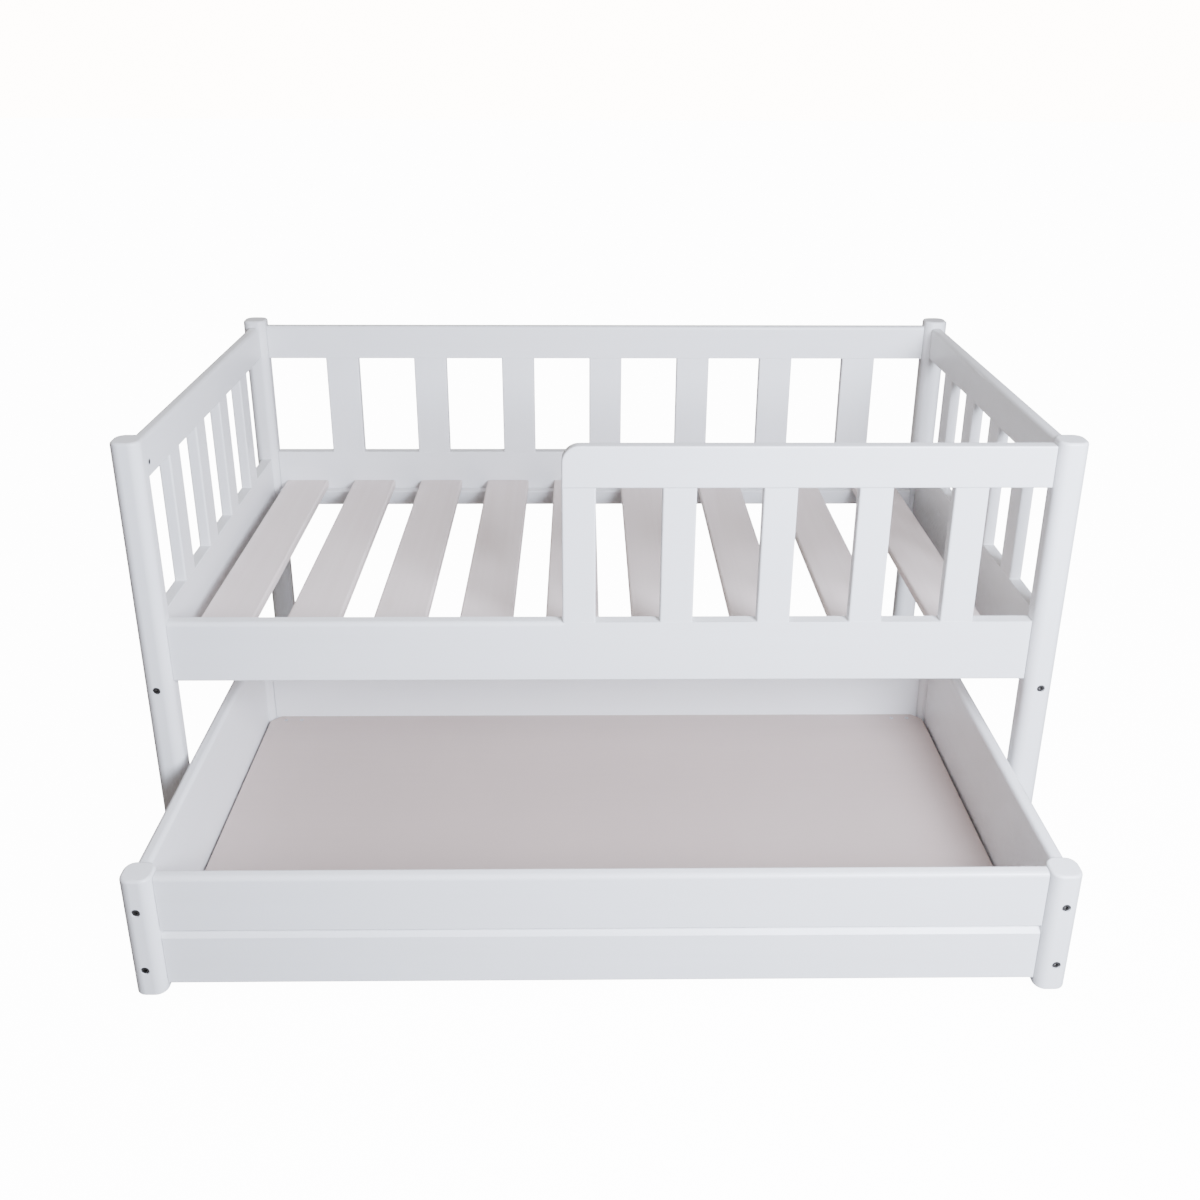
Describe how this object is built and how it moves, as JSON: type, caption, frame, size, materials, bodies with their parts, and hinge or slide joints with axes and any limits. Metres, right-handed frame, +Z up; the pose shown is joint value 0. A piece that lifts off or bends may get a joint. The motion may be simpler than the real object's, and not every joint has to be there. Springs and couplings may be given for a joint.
{
  "type": "toddler bed",
  "caption": "Low children's bed on square posts with slatted back and ends, a short guard rail, a slatted base and a rolling drawer beneath.",
  "frame": {"origin": "on the floor below the middle of the whole, counting the drawer as it stands pulled out", "axes": "+X along the bed to the end where the guard rail is, +Y to the back, away from the drawer, +Z up"},
  "size_m": [1.4, 1.091, 0.718],
  "materials": {
    "painted_timber": "white satin paint on solid timber",
    "slat_timber": "thin white stain on solid timber",
    "painted_panel": "white painted board",
    "zinc_steel": "zinc plated",
    "wheel_plastic": "moulded black nylon"
  },
  "bodies": {
    "bed_frame": {"bed_post_front_left": "painted_timber", "bed_post_front_right": "painted_timber", "bed_post_back_left": "painted_timber", "bed_post_back_right": "painted_timber", "back_top_rail": "painted_timber", "back_bottom_rail": "painted_timber", "back_slat_1": "painted_timber", "back_slat_2": "painted_timber", "back_slat_3": "painted_timber", "back_slat_4": "painted_timber", "back_slat_5": "painted_timber", "back_slat_6": "painted_timber", "back_slat_7": "painted_timber", "left_top_rail": "painted_timber", "left_bottom_rail": "painted_timber", "left_slat_1": "painted_timber", "left_slat_2": "painted_timber", "left_slat_3": "painted_timber", "left_slat_4": "painted_timber", "right_top_rail": "painted_timber", "right_bottom_rail": "painted_timber", "right_slat_1": "painted_timber", "right_slat_2": "painted_timber", "right_slat_3": "painted_timber", "right_slat_4": "painted_timber", "front_rail": "painted_timber", "guard_rail": "painted_timber", "guard_slat_1": "painted_timber", "guard_slat_2": "painted_timber", "guard_slat_3": "painted_timber", "guard_slat_4": "painted_timber", "guard_slat_5": "painted_timber", "ledger_front": "painted_timber", "ledger_back": "painted_timber", "base_slat_1": "slat_timber", "base_slat_2": "slat_timber", "base_slat_3": "slat_timber", "base_slat_4": "slat_timber", "base_slat_5": "slat_timber", "base_slat_6": "slat_timber", "base_slat_7": "slat_timber", "base_slat_8": "slat_timber", "base_slat_9": "slat_timber"},
    "drawer": {"drawer_post_front_left": "painted_timber", "drawer_post_back_left": "painted_timber", "drawer_post_front_right": "painted_timber", "drawer_post_back_right": "painted_timber", "drawer_front": "painted_timber", "drawer_back": "painted_timber", "drawer_side_left": "painted_timber", "drawer_side_right": "painted_timber", "drawer_bottom": "painted_panel", "caster_bracket_1": "zinc_steel", "caster_bracket_2": "zinc_steel", "caster_bracket_3": "zinc_steel", "caster_bracket_4": "zinc_steel"},
    "wheel_1": {"caster_wheel_1": "wheel_plastic"},
    "wheel_2": {"caster_wheel_2": "wheel_plastic"},
    "wheel_3": {"caster_wheel_3": "wheel_plastic"},
    "wheel_4": {"caster_wheel_4": "wheel_plastic"}
  },
  "joints": [
    {"name": "drawer_slide", "type": "slide", "parent": "bed_frame", "child": "drawer", "axis": [0, -1, 0], "range_m": [-0.307, 0.35]},
    {"name": "wheel_1_spin", "type": "hinge", "parent": "drawer", "child": "wheel_1", "pos_m": [-0.57, -0.4995, 0.016], "axis": [1, 0, 0], "continuous": true},
    {"name": "wheel_2_spin", "type": "hinge", "parent": "drawer", "child": "wheel_2", "pos_m": [0.57, -0.4995, 0.016], "axis": [1, 0, 0], "continuous": true},
    {"name": "wheel_3_spin", "type": "hinge", "parent": "drawer", "child": "wheel_3", "pos_m": [-0.57, 0.1125, 0.016], "axis": [1, 0, 0], "continuous": true},
    {"name": "wheel_4_spin", "type": "hinge", "parent": "drawer", "child": "wheel_4", "pos_m": [0.57, 0.1125, 0.016], "axis": [1, 0, 0], "continuous": true}
  ],
  "couplings": [
    {"joint": "wheel_1_spin", "follows": "drawer_slide", "rad_per_m": 62.5},
    {"joint": "wheel_2_spin", "follows": "drawer_slide", "rad_per_m": 62.5},
    {"joint": "wheel_3_spin", "follows": "drawer_slide", "rad_per_m": 62.5},
    {"joint": "wheel_4_spin", "follows": "drawer_slide", "rad_per_m": 62.5}
  ]
}
